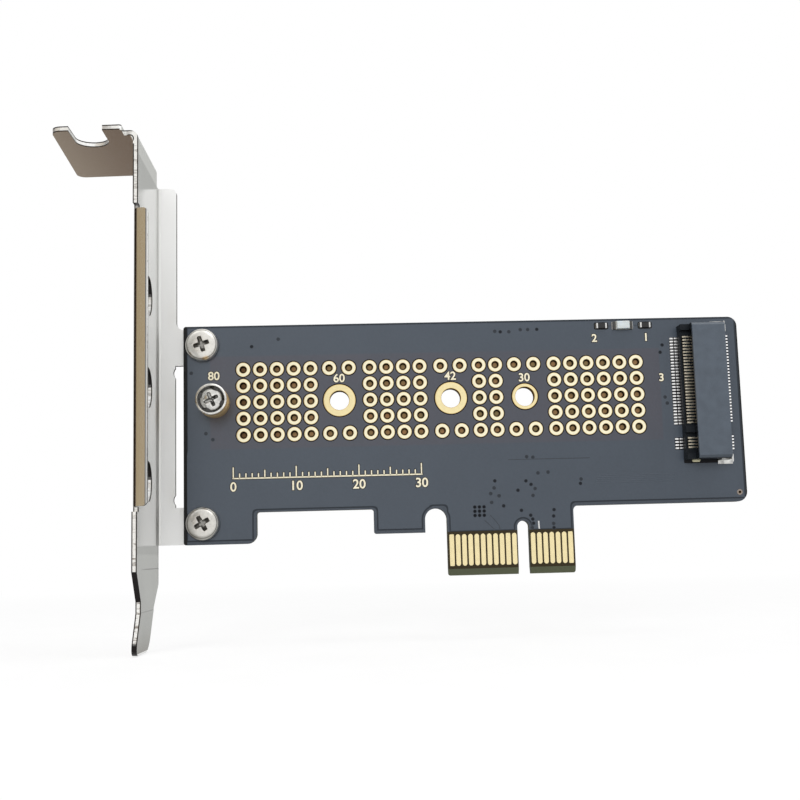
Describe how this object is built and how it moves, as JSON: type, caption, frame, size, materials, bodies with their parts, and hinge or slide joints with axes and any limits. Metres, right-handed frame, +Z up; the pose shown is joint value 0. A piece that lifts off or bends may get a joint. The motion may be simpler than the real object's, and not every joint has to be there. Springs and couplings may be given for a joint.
{
  "type": "nvme adapter card",
  "caption": "Expansion card that carries an M.2 drive: dark board with gold edge contacts, drive socket, screw standoff, plated vent holes and a folded low-profile bracket.",
  "frame": {"origin": "centre line of the edge connector's key notch, at the bottom edge of the contact tongue, halfway through the board's thickness", "axes": "+X along the board from the bracket to the drive socket, +Z up out of the slot, and -Y out of the component side, towards the viewer of the picture"},
  "size_m": [0.1079, 0.0234, 0.0783],
  "materials": {
    "solder_mask_board": "satin solder mask",
    "gold_contacts": "gold plated",
    "nickel_hardware": "satin nickel",
    "brass_standoff": "turned brass",
    "bracket_steel": "zinc plated",
    "socket_plastic": "matt",
    "tinned_tabs": "bright tin",
    "lamp_lens": "milky",
    "chip_ceramic": "glossy",
    "package_black": "matt",
    "inductor_ferrite": "matt",
    "capacitor_ceramic": "glossy"
  },
  "bodies": {
    "root": {"circuit_board": "solder_mask_board", "edge_contacts_front": "gold_contacts", "edge_contacts_back": "gold_contacts", "module_hole_ring_60": "gold_contacts", "module_hole_ring_42": "gold_contacts", "module_hole_ring_30": "gold_contacts", "m2_standoff": "brass_standoff", "m2_standoff_nut": "brass_standoff", "m2_screw": "nickel_hardware", "bracket": "bracket_steel", "bracket_screw_upper": "nickel_hardware", "bracket_screw_lower": "nickel_hardware", "socket_housing": "socket_plastic", "socket_lower_contacts": "gold_contacts", "socket_upper_contacts": "gold_contacts", "socket_hold_down_upper": "tinned_tabs", "socket_hold_down_lower": "tinned_tabs", "status_lamp": "lamp_lens", "lamp_resistor_1": "chip_ceramic", "lamp_resistor_2": "chip_ceramic", "voltage_regulator": "package_black", "power_inductor": "inductor_ferrite", "input_capacitor": "capacitor_ceramic", "output_capacitor_1": "capacitor_ceramic", "output_capacitor_2": "capacitor_ceramic", "divider_resistor_1": "chip_ceramic", "divider_resistor_2": "chip_ceramic"}
  },
  "joints": []
}
